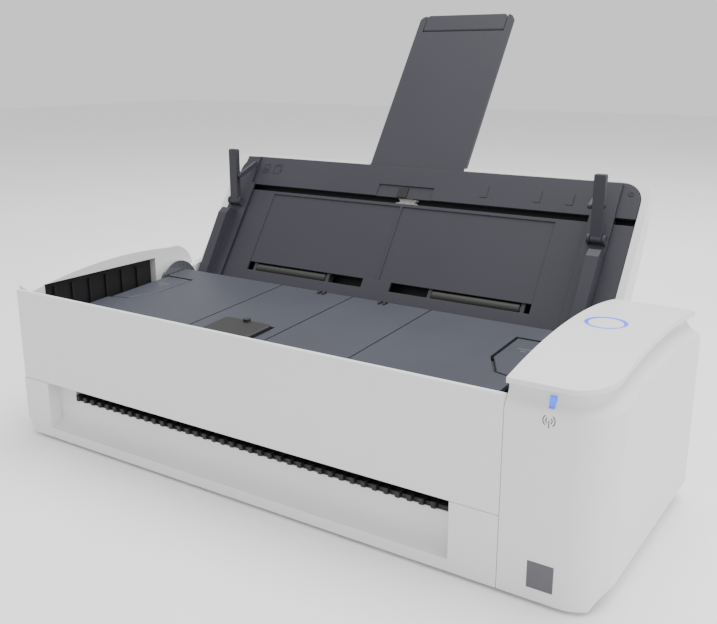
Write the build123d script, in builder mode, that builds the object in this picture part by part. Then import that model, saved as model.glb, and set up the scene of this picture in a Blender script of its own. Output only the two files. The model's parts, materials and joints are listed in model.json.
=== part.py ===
from build123d import *
import math
import os

# Sheet fed document scanner, millimetres.
# X to the right, Y to the back, Z up, origin at the middle of the footprint on the table.
# The lid stands open at rest and forms the paper chute.

os.makedirs("parts", exist_ok=True)

# ---------------------------------------------------------------- driving dimensions
body_width = 296.0
body_depth = 114.0
body_height = 87.0
foot_height = 1.5
wall = 2.2
seam = 0.2

half_w = body_width / 2
half_d = body_depth / 2
seam_z = 29.8             # top of the lower housing
rim_z = 75.0              # top of the front panel
pod_left = 110.4          # left face of the control pod
path_x = -17.5            # middle of the paper path

arch_radius = 305.0       # the long arch of the lid and the pod, seen from the side
arch_y = 5.0              # where the arch is highest

hinge_y = 38.0            # lid hinge axis
hinge_z = 59.6
lid_tilt = 34.3           # lean of the open lid behind vertical, degrees
lid_left = -139.3
lid_right = 109.7
chute_left = -134.5
chute_right = 105.9
chute_n = -15.9           # chute face, measured from the hinge axis along the lid's normal
free_edge_t = 93.5        # free edge of the lid, measured along the chute from the hinge

frame_left = -133.6       # outer face of the left frame plate
frame_right = 97.6        # inner face of the right frame plate
frame_plate = 1.4

gear_x = 100.2            # inner face of the gear train
gear_width = 4.0
shaft_r = 3.0
idle_shaft_r = 1.6
running = 0.05            # radial clearance of a running fit

button_x = 123.5
button_y = 4.0
ring_r = 8.1


# ---------------------------------------------------------------- planes and helpers
def across(x):
    """Plane facing +X at x, with local x along Y and local y along Z."""
    return Plane(origin=(x, 0, 0), x_dir=(0, 1, 0), z_dir=(1, 0, 0))


up_y = math.sin(math.radians(lid_tilt))
up_z = math.cos(math.radians(lid_tilt))
lid_face = Plane(origin=(0, hinge_y, hinge_z), x_dir=(1, 0, 0), z_dir=(0, -up_z, up_y))


def lid_across(x):
    """Plane facing +X at x, with local x along the chute (t) and local y along its normal (n)."""
    return Plane(origin=(x, hinge_y, hinge_z), x_dir=(0, up_y, up_z), z_dir=(1, 0, 0))


def arch_z(y, drop=0.0):
    """Height of the body's arch at y, lowered by drop."""
    return body_height - drop - arch_radius + math.sqrt(arch_radius**2 - (y - arch_y) ** 2)


def lid_arch(t, drop=0.0):
    """The same arch on the lid, as n against t, in the closed lid's place."""
    return hinge_z - arch_z(hinge_y - t, drop)


def circle_meet(a, b, ra, rb, side):
    """Point at ra from a and rb from b, on the chosen side of the line between them."""
    d = math.dist(a, b)
    along = (ra**2 - rb**2 + d**2) / (2 * d)
    off = side * math.sqrt(ra**2 - along**2)
    uy = (b[0] - a[0]) / d
    uz = (b[1] - a[1]) / d
    return (a[0] + along * uy - off * uz, a[1] + along * uz + off * uy)


# ---------------------------------------------------------------- paper path and drive layout
guide_r = 16.4            # curved rear guide about the hinge axis
guide_sheet = 0.8         # thin, so that the extension slides in behind it
path_slope = math.radians(11.24)
path_start = (hinge_y + guide_r * math.sin(path_slope), hinge_z - guide_r * math.cos(path_slope))


def path_point(y, above):
    """Point over the straight paper path at y, at a height square to the path."""
    z = path_start[1] - (path_start[0] - y) * math.tan(path_slope)
    return (y - above * math.sin(path_slope), z + above * math.cos(path_slope))


path_plane = Plane(
    origin=(path_x, path_start[0], path_start[1]),
    x_dir=(1, 0, 0),
    z_dir=(0, -math.sin(path_slope), math.cos(path_slope)),
)

pick_r = 8.2
feed_r = 6.0
exit_r = 5.0
pinch_r = 4.0
nip_gap = 0.15
feed_y = 18.0
exit_y = -30.0
sensor_y = -6.0

pick_angle = math.radians(-70)
pick_reach = 7.4
pick_c = (hinge_y + pick_reach * math.cos(pick_angle), hinge_z + pick_reach * math.sin(pick_angle))
feed_c = path_point(feed_y, -feed_r - nip_gap)
exit_c = path_point(exit_y, -exit_r - nip_gap)
feed_pinch_c = path_point(feed_y, pinch_r + nip_gap)
exit_pinch_c = path_point(exit_y, pinch_r + nip_gap)

module = 1.0
pick_teeth = 16
feed_teeth = 24
exit_teeth = 20
rear_idler_teeth = 12
front_idler_teeth = 27
motor_teeth = 12


def pitch_r(teeth):
    """Pitch radius of a gear."""
    return teeth * module / 2


rear_idler_c = circle_meet(
    pick_c,
    feed_c,
    pitch_r(pick_teeth + rear_idler_teeth),
    pitch_r(feed_teeth + rear_idler_teeth),
    -1,
)
front_idler_c = circle_meet(
    feed_c,
    exit_c,
    pitch_r(feed_teeth + front_idler_teeth),
    pitch_r(exit_teeth + front_idler_teeth),
    1,
)
motor_angle = math.radians(100)
motor_reach = pitch_r(front_idler_teeth + motor_teeth)
motor_c = (
    front_idler_c[0] + motor_reach * math.cos(motor_angle),
    front_idler_c[1] + motor_reach * math.sin(motor_angle),
)


def mesh_phase(centre, teeth, phase, other, other_teeth):
    """Phase, in degrees, that puts the other gear's gap on this gear's tooth."""
    line = math.degrees(math.atan2(other[1] - centre[1], other[0] - centre[0]))
    return line + 180 + 180 / other_teeth - (phase - line) * teeth / other_teeth


feed_phase = 0.0
rear_idler_phase = mesh_phase(feed_c, feed_teeth, feed_phase, rear_idler_c, rear_idler_teeth)
pick_phase = mesh_phase(rear_idler_c, rear_idler_teeth, rear_idler_phase, pick_c, pick_teeth)
front_idler_phase = mesh_phase(feed_c, feed_teeth, feed_phase, front_idler_c, front_idler_teeth)
exit_phase = mesh_phase(front_idler_c, front_idler_teeth, front_idler_phase, exit_c, exit_teeth)
motor_phase = mesh_phase(front_idler_c, front_idler_teeth, front_idler_phase, motor_c, motor_teeth)


def gear_outline(teeth, phase):
    """Outline of a spur gear with straight-sided teeth, thin enough to run with backlash."""
    outer = pitch_r(teeth) + 0.8 * module
    root = pitch_r(teeth) - 1.15 * module
    step = 360 / teeth
    points = []
    for i in range(teeth):
        for radius, offset in ((root, -0.29), (outer, -0.11), (outer, 0.11), (root, 0.29)):
            angle = math.radians(phase + step * (i + offset))
            points.append((radius * math.cos(angle), radius * math.sin(angle)))
    return points


def spur_gear(x, centre, teeth, phase, bore, width=gear_width):
    """A gear on a plane facing +X, bored for its shaft."""
    with BuildPart() as gear:
        with BuildSketch(across(x)):
            with Locations(centre):
                Polygon(*gear_outline(teeth, phase), align=None)
                Circle(bore, mode=Mode.SUBTRACT)
        extrude(amount=width)
    return gear


def roller_set(spans, centre, radius, bore):
    """Rollers along X on one axis, as separate solids."""
    with BuildPart() as rollers:
        for x0, x1 in spans:
            with BuildSketch(across(x0)):
                with Locations(centre):
                    Circle(radius)
                    Circle(bore, mode=Mode.SUBTRACT)
            extrude(amount=x1 - x0)
    return rollers


# ---------------------------------------------------------------- lower housing with the front tray
side_bevel_x = 5.0
side_bevel_z = 7.0
tray_left = -130.6
tray_right = 90.8
tray_lip_z = 6.5
tray_back_y = -49.5
inner_front_y = -45.5
comb_left = -119.0
comb_right = 89.0
comb_seat_z = 21.3
floor_space = 2.2         # room for the floor pan
post_r = 4.0
screw_spots = [(-138.0, -40.0), (-138.0, 48.0), (104.2, -40.0), (104.2, 48.0)]
screw_hole_r = 1.6

with BuildPart() as lower_housing:
    with BuildSketch(Plane.XZ.offset(-half_d)):
        with BuildLine():
            Polyline(
                (-half_w, seam_z),
                (-half_w, foot_height + side_bevel_z),
                (-half_w + side_bevel_x, foot_height),
                (pod_left - seam, foot_height),
                (pod_left - seam, seam_z),
                close=True,
            )
        make_face()
    extrude(amount=body_depth)
    with BuildSketch(Plane.XZ.offset(-half_d + wall)):
        with BuildLine():
            Polyline(
                (-half_w + 2.8, seam_z + 1),
                (-half_w + 2.8, foot_height + side_bevel_z + 1),
                (-141.2, foot_height + floor_space),
                (-141.2, 0),
                (108, 0),
                (108, seam_z + 1),
                close=True,
            )
        make_face()
    extrude(amount=half_d - wall - inner_front_y, mode=Mode.SUBTRACT)
    with BuildSketch(Plane.XY):
        with Locations(((-141.2 + 108) / 2, half_d)):
            Rectangle(141.2 + 108, 12)
    extrude(amount=seam_z + 1, mode=Mode.SUBTRACT)
    with BuildSketch(Plane.XY):
        with Locations((106, (inner_front_y + half_d) / 2)):
            Rectangle(12, half_d - inner_front_y)
    extrude(amount=foot_height + floor_space, mode=Mode.SUBTRACT)
    with BuildSketch(across(tray_left)):
        with BuildLine():
            front = Line((-half_d - 1, tray_lip_z), (-56, tray_lip_z))
            scoop = TangentArc((front @ 1), (tray_back_y - 0.6, 14), tangent=(1, 0))
            Polyline(scoop @ 1, (tray_back_y, seam_z + 1), (-half_d - 1, seam_z + 1), front @ 0)
        make_face()
    extrude(amount=tray_right - tray_left, mode=Mode.SUBTRACT)
    with BuildSketch(across(comb_left)):
        with Locations(((tray_back_y + inner_front_y) / 2, (comb_seat_z + seam_z + 1) / 2)):
            Rectangle(inner_front_y - tray_back_y + 1, seam_z + 1 - comb_seat_z)
    extrude(amount=comb_right - comb_left, mode=Mode.SUBTRACT)
    with BuildSketch(Plane.XY.offset(foot_height + floor_space)):
        with Locations(*screw_spots):
            Circle(post_r)
    extrude(amount=9)
    with BuildSketch(Plane.XY.offset(foot_height + floor_space)):
        with Locations(*screw_spots):
            Circle(screw_hole_r - 0.1)
    extrude(amount=7, mode=Mode.SUBTRACT)

# ---------------------------------------------------------------- comb along the front slot
tooth_pitch = 5.2
tooth_count = 39
tooth_width = 2.2
comb_top_z = 24.4

with BuildPart() as slot_comb:
    with BuildSketch(across(comb_left + 0.3)):
        with Locations((tray_back_y + 2.0, comb_seat_z + 0.9)):
            Rectangle(3.6, 1.8)
    extrude(amount=comb_right - comb_left - 0.6)
    with BuildSketch(Plane.XY.offset(comb_seat_z + 0.4)):
        with Locations((path_x, tray_back_y + 0.9)):
            with GridLocations(tooth_pitch, 1, tooth_count, 1):
                RectangleRounded(tooth_width, 5.6, 0.6)
    extrude(amount=comb_top_z - comb_seat_z - 0.4)

# ---------------------------------------------------------------- upper front panel
panel_back_y = -half_d + wall

with BuildPart() as front_panel:
    with BuildSketch(Plane.XY.offset(seam_z + seam)):
        with Locations(((-half_w + pod_left - seam) / 2, (-half_d + panel_back_y) / 2)):
            Rectangle(half_w + pod_left - seam, wall)
    extrude(amount=rim_z - seam_z - seam)
    fillet(front_panel.edges().filter_by(Axis.X).group_by(Axis.Z)[-1], radius=0.9)
    fillet(front_panel.edges().filter_by(Axis.Z).group_by(Axis.X)[0], radius=1.0)

# ---------------------------------------------------------------- left side cover with its dark pocket
cover_inner_x = -140.2
pocket_front_y = -46.0
pocket_back_y = 28.0
pocket_top_z = 76.0
pin_r = 2.5


def side_outline(drop):
    """Outline of the left side wall, its arched top lowered by drop."""
    front_y = panel_back_y + seam
    with BuildSketch(Plane.XY, mode=Mode.PRIVATE) as outline:
        with BuildLine():
            Line((front_y, seam_z + seam), (front_y, 76.6 - drop))
            ThreePointArc((front_y, 76.6 - drop), (-5, 84.0 - drop), (40, 82.8 - drop))
            ThreePointArc((40, 82.8 - drop), (52.4, 79.4 - drop), (half_d, 71.0 - drop))
            Polyline((half_d, 71.0 - drop), (half_d, seam_z + seam), (front_y, seam_z + seam))
        make_face()
    return outline.sketch


with BuildPart() as left_side_cover:
    with BuildSketch(across(-half_w)):
        add(side_outline(0))
    with BuildSketch(across(cover_inner_x)):
        add(side_outline(2.8))
    loft()
    with BuildSketch(across(cover_inner_x)):
        with Locations(((pocket_front_y + pocket_back_y) / 2, (34 + pocket_top_z) / 2)):
            Rectangle(pocket_back_y - pocket_front_y, pocket_top_z - 34)
    extrude(amount=-5.4, mode=Mode.SUBTRACT)
    with BuildSketch(across(cover_inner_x)):
        with Locations((hinge_y, hinge_z)):
            Circle(pin_r)
    extrude(amount=-5.8, mode=Mode.SUBTRACT)

with BuildPart() as left_inner_cover:
    with BuildSketch(across(cover_inner_x - 5.2)):
        with Locations(((pocket_front_y + pocket_back_y) / 2, (34 + pocket_top_z) / 2)):
            Rectangle(pocket_back_y - pocket_front_y - 0.4, pocket_top_z - 34 - 0.4)
    extrude(amount=1.2)
    with BuildSketch(across(cover_inner_x - 4.0)):
        with Locations((pocket_front_y + 8, 56)):
            with GridLocations(11, 1, 6, 1, align=(Align.MIN, Align.CENTER)):
                Rectangle(1.4, 34)
    extrude(amount=1.6)

# ---------------------------------------------------------------- control pod
pod_corner_r = 15.0
pod_back_r = 6.0
plate_thickness = 1.9
neck_in = 3.6
plate_side = 2.4          # the plate stands further in at the right side
neck_height = 8.0
pod_wall = 2.4
neck_z = 69.0
usb_x = 121.0
usb_z = 22.0
power_x = 137.0
power_z = 22.0
port_hole_w = 12.6
port_hole_h = 11.6
power_hole_r = 4.6
led_x = 126.3
led_z = 74.6


def pod_footprint(inset, front_r, back_r, left=pod_left, side=0.0):
    """Plan of the pod, drawn inset from its outer faces, and by side more at the right."""
    right_x = half_w - inset - side
    front_y = -half_d + inset
    back_y = half_d - inset
    with BuildSketch(Plane.XY, mode=Mode.PRIVATE) as plan:
        with BuildLine():
            Polyline(
                (right_x - back_r, back_y),
                (left, back_y),
                (left, front_y),
                (right_x - front_r, front_y),
            )
            RadiusArc((right_x - front_r, front_y), (right_x, front_y + front_r), -front_r)
            Line((right_x, front_y + front_r), (right_x, back_y - back_r))
            RadiusArc((right_x, back_y - back_r), (right_x - back_r, back_y), -back_r)
        make_face()
    return plan.sketch


def under_arch(x, width, drop):
    """Everything below the arch lowered by drop, as a long prism along X."""
    reach = half_d + 2
    with BuildPart(mode=Mode.PRIVATE) as prism:
        with BuildSketch(across(x)):
            with BuildLine():
                Polyline(
                    (-reach, arch_z(-reach, drop)),
                    (-reach, 0),
                    (reach, 0),
                    (reach, arch_z(reach, drop)),
                )
                ThreePointArc(
                    (reach, arch_z(reach, drop)),
                    (arch_y, arch_z(arch_y, drop)),
                    (-reach, arch_z(-reach, drop)),
                )
            make_face()
        extrude(amount=width)
    return prism.part


def over_wedge():
    """Wedge that bevels the pod's lower right edge."""
    with BuildPart(mode=Mode.PRIVATE) as wedge:
        with BuildSketch(Plane.XZ.offset(-half_d - 1)):
            with BuildLine():
                Polyline(
                    (half_w + 1, foot_height - 1),
                    (half_w + 1, foot_height + side_bevel_z + 1.4),
                    (half_w - side_bevel_x - 0.7, foot_height - 1),
                    close=True,
                )
            make_face()
        extrude(amount=body_depth + 2)
    return wedge.part


with BuildPart() as pod_housing:
    with BuildSketch(Plane.XY.offset(foot_height)):
        add(pod_footprint(0, pod_corner_r, pod_back_r))
    extrude(amount=body_height)
    add(under_arch(pod_left - 5, 60, plate_thickness + seam + neck_height), mode=Mode.INTERSECT)
    with BuildPart(mode=Mode.PRIVATE) as neck:
        with BuildSketch(Plane.XY.offset(foot_height)):
            add(pod_footprint(neck_in, pod_corner_r - neck_in, pod_back_r - neck_in, side=plate_side))
        extrude(amount=body_height)
        add(under_arch(pod_left - 5, 60, plate_thickness + seam), mode=Mode.INTERSECT)
    add(neck.part)
    add(over_wedge(), mode=Mode.SUBTRACT)
    with BuildSketch(Plane.XY.offset(foot_height + side_bevel_z + 1)):
        add(pod_footprint(pod_wall, pod_corner_r - pod_wall, pod_back_r - pod_wall, pod_left + pod_wall))
    extrude(amount=neck_z - foot_height - side_bevel_z - 1, mode=Mode.SUBTRACT)
    with BuildSketch(Plane.XY.offset(foot_height + floor_space)):
        add(pod_footprint(8.4, 7, 2, pod_left + pod_wall))
    extrude(amount=neck_z + 6, mode=Mode.SUBTRACT)
    with BuildSketch(Plane.XY):
        with Locations((120, (inner_front_y + half_d - wall - seam) / 2)):
            Rectangle(42.4, half_d - wall - seam - inner_front_y)
    extrude(amount=foot_height + floor_space, mode=Mode.SUBTRACT)
    with BuildSketch(Plane.XY.offset(neck_z)):
        with Locations((button_x, button_y)):
            Circle(ring_r)
    extrude(amount=30, mode=Mode.SUBTRACT)
    with BuildSketch(Plane.XZ.offset(-half_d - 1)):
        with Locations((usb_x, usb_z)):
            Rectangle(port_hole_w, port_hole_h)
        with Locations((power_x, power_z)):
            Circle(power_hole_r)
    extrude(amount=6, mode=Mode.SUBTRACT)
    with BuildSketch(Plane.XZ.offset(half_d + 1)):
        with Locations((led_x, led_z)):
            RectangleRounded(2.2, 4.0, 0.8)
    extrude(amount=-10, mode=Mode.SUBTRACT)
    with BuildSketch(across(pod_left - 1)):
        with Locations(motor_c):
            Circle(6)
        with Locations((hinge_y, hinge_z)):
            Circle(pin_r)
    extrude(amount=pod_wall + 2, mode=Mode.SUBTRACT)

with BuildPart() as pod_top_plate:
    with BuildSketch(Plane.XY.offset(rim_z)):
        add(pod_footprint(0.6, pod_corner_r - 1.5, pod_back_r, side=plate_side))
    extrude(amount=20)
    add(under_arch(pod_left - 5, 60, 0), mode=Mode.INTERSECT)
    add(under_arch(pod_left - 6, 62, plate_thickness), mode=Mode.SUBTRACT)
    with BuildSketch(Plane.XY.offset(rim_z)):
        with Locations((button_x, button_y)):
            Circle(ring_r)
    extrude(amount=30, mode=Mode.SUBTRACT)

# ---------------------------------------------------------------- scan button, lights and their board
button_r = 6.7
ring_inner_r = 7.0
button_top = body_height - 0.1
stem_r = 2.5
stem_end_z = 78.4
board_z = 72.0
board_thickness = 1.6

with BuildPart() as scan_button:
    with BuildSketch(Plane.XY.offset(button_top - 3.4)):
        with Locations((button_x, button_y)):
            Circle(button_r)
    extrude(amount=3.4)
    fillet(scan_button.edges().group_by(Axis.Z)[-1], radius=0.3)
    with BuildSketch(Plane.XY.offset(stem_end_z)):
        with Locations((button_x, button_y)):
            Circle(stem_r)
    extrude(amount=button_top - 3.4 - stem_end_z)

with BuildPart() as led_ring:
    with BuildSketch(Plane.XY.offset(button_top - 5.0)):
        with Locations((button_x, button_y)):
            Circle(ring_r)
            Circle(ring_inner_r, mode=Mode.SUBTRACT)
    extrude(amount=5.0)

with BuildPart() as button_board:
    with BuildSketch(Plane.XY.offset(board_z)):
        with Locations((button_x, button_y)):
            Rectangle(19, 30)
    extrude(amount=board_thickness)
    with BuildSketch(Plane.XY.offset(board_z + board_thickness)):
        with Locations((button_x, button_y)):
            Rectangle(6, 6)
    extrude(amount=2.4)
    with BuildSketch(Plane.XY.offset(board_z + board_thickness + 2.4)):
        with Locations((button_x, button_y)):
            Circle(1.6)
    extrude(amount=1.2)

with BuildPart() as status_led:
    with BuildSketch(Plane.XZ.offset(half_d - 2.4)):
        with Locations((led_x, led_z)):
            RectangleRounded(2.1, 3.9, 0.75)
    extrude(amount=-6)

# ---------------------------------------------------------------- rear cover, rear tray, floor, feet
rear_top_z = 36.0
tray_z = 29.4
frame_gap_left = frame_left + frame_plate + 0.3
frame_gap_right = frame_right - 0.3
inner_width = frame_gap_right - frame_gap_left
inner_mid = (frame_gap_right + frame_gap_left) / 2

with BuildPart() as rear_cover:
    with BuildSketch(Plane.XZ.offset(-half_d)):
        with Locations(((-141.0 + 107.8) / 2, (foot_height + seam_z) / 2)):
            Rectangle(141.0 + 107.8, seam_z - foot_height)
        with Locations(((cover_inner_x + seam + pod_left - seam) / 2, (seam_z + seam + rear_top_z) / 2)):
            Rectangle(pod_left - cover_inner_x - 2 * seam, rear_top_z - seam_z - seam)
        with Locations((inner_mid, seam_z)):
            Rectangle(inner_width, 4)
    extrude(amount=wall)
    with BuildSketch(Plane.XZ.offset(-half_d)):
        with Locations((path_x, 12)):
            with GridLocations(7, 1, 16, 1):
                SlotOverall(9, 2.6, rotation=90)
    extrude(amount=0.8, mode=Mode.SUBTRACT)

with BuildPart() as rear_tray:
    with BuildSketch(Plane.XY.offset(tray_z)):
        with Locations((inner_mid, (28 + half_d - wall - seam) / 2)):
            Rectangle(inner_width, half_d - wall - seam - 28)
    extrude(amount=1.5)

floor_left = -140.9
floor_right = 140.9
floor_back = half_d - wall - 0.4
floor_front = inner_front_y + 0.3
foot_r = 6.5
foot_spots = [(-128.0, -36.0), (-128.0, 45.0), (128.0, -36.0), (128.0, 45.0)]

with BuildPart() as bottom_cover:
    with BuildSketch(Plane.XY.offset(foot_height)):
        with Locations(((floor_left + floor_right) / 2, (floor_front + floor_back) / 2)):
            Rectangle(floor_right - floor_left, floor_back - floor_front)
        with Locations(*screw_spots):
            Circle(screw_hole_r, mode=Mode.SUBTRACT)
    extrude(amount=2.0)

with BuildPart() as rubber_feet:
    with BuildSketch(Plane.XY):
        with Locations(*foot_spots):
            Circle(foot_r)
    extrude(amount=foot_height)
    fillet(rubber_feet.edges().group_by(Axis.Z)[0], radius=0.6)

with BuildPart() as case_screws:
    with BuildSketch(Plane.XY.offset(0.5)):
        with Locations(*screw_spots):
            Circle(2.8)
            RegularPolygon(1.2, 6, mode=Mode.SUBTRACT)
    extrude(amount=foot_height - 0.5)
    with BuildSketch(Plane.XY.offset(foot_height)):
        with Locations(*screw_spots):
            Circle(screw_hole_r - 0.1)
    extrude(amount=8.5)

# ---------------------------------------------------------------- frame plates, bars, bushes, pins
bush_r = 4.2
cover_pivot = (-48.5, 58.5)
cover_pin_r = 1.5
bar_r = 2.5
bar_spots = [(-40.0, 10.5), (30.0, 12.0)]
lever_pivot = (-9.0, 58.6)
lever_pin_r = 1.5


def frame_outline(openings):
    """Side view of a frame plate, with round holes given as (centre, radius)."""
    with BuildSketch(Plane.XY, mode=Mode.PRIVATE) as plate:
        with BuildLine():
            Polyline(
                (-44, 6),
                (50, 6),
                (50, 31),
                (34, 31),
                (34, 44),
                (44, 47),
                (38, 72),
                (20, 63),
                (-46, 62.5),
                (-52, 60),
                (-52, 31),
                (-44, 31),
                close=True,
            )
        make_face()
        with Locations((hinge_y, hinge_z)):
            Circle(14.0)
        for centre, radius in openings:
            with Locations(centre):
                Circle(radius, mode=Mode.SUBTRACT)
    return plate.sketch


shaft_holes = [
    (pick_c, bush_r),
    (feed_c, bush_r),
    (exit_c, bush_r),
    (feed_pinch_c, idle_shaft_r + running),
    (exit_pinch_c, idle_shaft_r + running),
    (cover_pivot, cover_pin_r),
    (lever_pivot, lever_pin_r),
]
stud_holes = [(rear_idler_c, idle_shaft_r), (front_idler_c, idle_shaft_r)]
hinge_hole = [((hinge_y, hinge_z), pin_r)]

with BuildPart() as left_frame:
    with BuildSketch(across(frame_left)):
        add(frame_outline(shaft_holes + hinge_hole))
    extrude(amount=frame_plate)

with BuildPart() as right_frame:
    with BuildSketch(across(frame_right)):
        add(frame_outline(shaft_holes + stud_holes))
    extrude(amount=frame_plate)

with BuildPart() as shaft_bushes:
    for bush_x in (frame_left - 0.4, frame_right - 0.4):
        with BuildSketch(across(bush_x)):
            with Locations(pick_c, feed_c, exit_c):
                Circle(bush_r)
                Circle(shaft_r + running, mode=Mode.SUBTRACT)
        extrude(amount=frame_plate + 0.8)

short_pin = 6.0
lever_pin = 10.0
pin_runs = [
    (-146.0, frame_left + frame_plate, [(hinge_y, hinge_z)], pin_r),
    (105.4, pod_left + pod_wall, [(hinge_y, hinge_z)], pin_r),
    (frame_left, frame_left + frame_plate + short_pin, [cover_pivot], cover_pin_r),
    (frame_right - short_pin, frame_right + frame_plate, [cover_pivot], cover_pin_r),
    (frame_left, frame_left + frame_plate + lever_pin, [lever_pivot], lever_pin_r),
    (frame_right - lever_pin, frame_right + frame_plate, [lever_pivot], lever_pin_r),
    (frame_left + frame_plate, frame_right, bar_spots, bar_r),
    (frame_right, gear_x + gear_width + 0.4, [rear_idler_c, front_idler_c], idle_shaft_r),
]

with BuildPart() as frame_pins:
    for x0, x1, centres, radius in pin_runs:
        with BuildSketch(across(x0)):
            with Locations(*centres):
                Circle(radius)
        extrude(amount=x1 - x0)

# ---------------------------------------------------------------- feed shafts, rollers and gears
shaft_left = frame_left - 0.4



def gear_shaft(centre, teeth, phase):
    """A shaft along X with its drive gear moulded on the right end."""
    with BuildPart() as shaft:
        with BuildSketch(across(shaft_left)):
            with Locations(centre):
                Circle(shaft_r)
        extrude(amount=gear_x + gear_width - shaft_left)
        with BuildSketch(across(gear_x)):
            with Locations(centre):
                Polygon(*gear_outline(teeth, phase), align=None)
        extrude(amount=gear_width)
    return shaft


pick_shaft = gear_shaft(pick_c, pick_teeth, pick_phase)
feed_shaft = gear_shaft(feed_c, feed_teeth, feed_phase)
exit_shaft = gear_shaft(exit_c, exit_teeth, exit_phase)

pick_roller = roller_set([(path_x - 26, path_x - 4), (path_x + 4, path_x + 26)], pick_c, pick_r, shaft_r)
feed_roller = roller_set(
    [(path_x + c - 11, path_x + c + 11) for c in (-72, -24, 24, 72)], feed_c, feed_r, shaft_r
)
exit_roller = roller_set(
    [(path_x + c - 11, path_x + c + 11) for c in (-72, -24, 24, 72)], exit_c, exit_r, shaft_r
)

rear_idler_gear = spur_gear(gear_x, rear_idler_c, rear_idler_teeth, rear_idler_phase, idle_shaft_r + running)
front_idler_gear = spur_gear(
    gear_x, front_idler_c, front_idler_teeth, front_idler_phase, idle_shaft_r + running
)


def pinch_roller_bar(centre):
    """Idle shaft with four soft rollers, moulded in one piece."""
    with BuildPart() as bar:
        with BuildSketch(across(frame_left)):
            with Locations(centre):
                Circle(idle_shaft_r)
        extrude(amount=frame_right + frame_plate - frame_left)
        for offset in (-72, -24, 24, 72):
            with BuildSketch(across(path_x + offset - 9)):
                with Locations(centre):
                    Circle(pinch_r)
            extrude(amount=18)
    return bar


feed_pinch_roller = pinch_roller_bar(feed_pinch_c)
exit_pinch_roller = pinch_roller_bar(exit_pinch_c)

# ---------------------------------------------------------------- drive motor and its gear
motor_r = 11.0
motor_shaft_r = 1.5
motor_face_x = pod_left + pod_wall + 0.3
motor_length = 22.0

with BuildPart() as drive_motor:
    with BuildSketch(across(motor_face_x)):
        with Locations(motor_c):
            Circle(motor_r)
    extrude(amount=motor_length)
    with BuildSketch(across(motor_face_x)):
        with Locations(motor_c):
            Circle(motor_shaft_r + running)
    extrude(amount=6, mode=Mode.SUBTRACT)
    with BuildSketch(across(motor_face_x + motor_length)):
        with Locations(motor_c):
            Circle(motor_r - 2.5)
    extrude(amount=2)

with BuildPart() as motor_gear:
    with BuildSketch(across(gear_x)):
        with Locations(motor_c):
            Polygon(*gear_outline(motor_teeth, motor_phase), align=None)
    extrude(amount=gear_width)
    with BuildSketch(across(gear_x + gear_width)):
        with Locations(motor_c):
            Circle(motor_shaft_r)
    extrude(amount=motor_face_x + 5 - gear_x - gear_width)

# ---------------------------------------------------------------- paper guides and image sensors
guide_thickness = 1.2
guide_half = 108.0
gap_half = 100.0
path_reach = 87.5


def path_y(y):
    """Distance along the path plane's local y of a place y in the body."""
    return (y - path_start[0]) / math.cos(path_slope)


path_gaps = [(feed_y + 1.2, 16.0), (sensor_y, 18.0), (exit_y + 1.0, 14.0)]


def path_plate(offset, back_end):
    """A flat guide plate along the path, open where rollers and sensors reach through."""
    with BuildPart() as plate:
        with BuildSketch(path_plane.offset(offset)):
            with Locations((0, (back_end - path_reach) / 2)):
                Rectangle(2 * guide_half, path_reach + back_end)
            for gap_y, gap in path_gaps:
                with Locations((0, path_y(gap_y))):
                    Rectangle(2 * gap_half, gap, mode=Mode.SUBTRACT)
        extrude(amount=guide_thickness)
    return plate


path_floor = path_plate(-0.4 - guide_thickness, -3.0)
path_roof = path_plate(0.9, -12.0)

with BuildPart() as feed_guide:
    with BuildSketch(across(path_x - guide_half)):
        with Locations((hinge_y, hinge_z)):
            Circle(guide_r + guide_sheet)
            Circle(guide_r, mode=Mode.SUBTRACT)
        with BuildLine():
            Polyline(
                (hinge_y, hinge_z),
                (hinge_y + 30 * math.sin(path_slope), hinge_z - 30 * math.cos(path_slope)),
                (hinge_y + 40, hinge_z - 40),
                (hinge_y + 30 * math.cos(math.radians(12)), hinge_z - 30 * math.sin(math.radians(12))),
                close=True,
            )
        make_face(mode=Mode.INTERSECT)
    extrude(amount=2 * guide_half)

with BuildPart() as separation_pad:
    with BuildSketch(across(path_x - 14)):
        with Locations((hinge_y, hinge_z)):
            Circle(guide_r)
            Circle(guide_r - 0.5, mode=Mode.SUBTRACT)
        with BuildLine():
            Polyline(
                (hinge_y, hinge_z),
                (hinge_y + 12, hinge_z - 40),
                (hinge_y + 27, hinge_z - 30),
                close=True,
            )
        make_face(mode=Mode.INTERSECT)
    extrude(amount=28)

sensor_width = 16.0
sensor_height = 11.0


def sensor_bar(offset):
    """Contact image sensor bar beside the path."""
    with BuildPart() as bar:
        with BuildSketch(path_plane.offset(offset)):
            with Locations((0, path_y(sensor_y))):
                Rectangle(2 * gap_half - 2, sensor_width)
        extrude(amount=sensor_height)
    return bar


lower_sensor = sensor_bar(-1.5 - sensor_height)
upper_sensor = sensor_bar(2.5)

with BuildPart() as sensor_glasses:
    for glass_offset in (-1.5, 1.5):
        with BuildSketch(path_plane.offset(glass_offset)):
            with Locations((0, path_y(sensor_y))):
                Rectangle(2 * gap_half - 2, sensor_width - 1)
        extrude(amount=1.0)

# ---------------------------------------------------------------- grey feed cover, its pins, catch and levers
feed_cover_left = -131.6
feed_cover_right = 95.4
feed_cover_back = 43.0
feed_cover_front = -52.8
cover_slope = math.atan(0.063)
cover_back_z = 68.0
cover_thickness = 2.0
panel_pitch = 44.7
lever_gap = 1.2

cover_plane = Plane(
    origin=(path_x, feed_cover_back, cover_back_z),
    x_dir=(1, 0, 0),
    z_dir=(0, -math.sin(cover_slope), math.cos(cover_slope)),
)
cover_up = Axis((0, 0, 0), (0, -math.sin(cover_slope), math.cos(cover_slope)))


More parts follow.
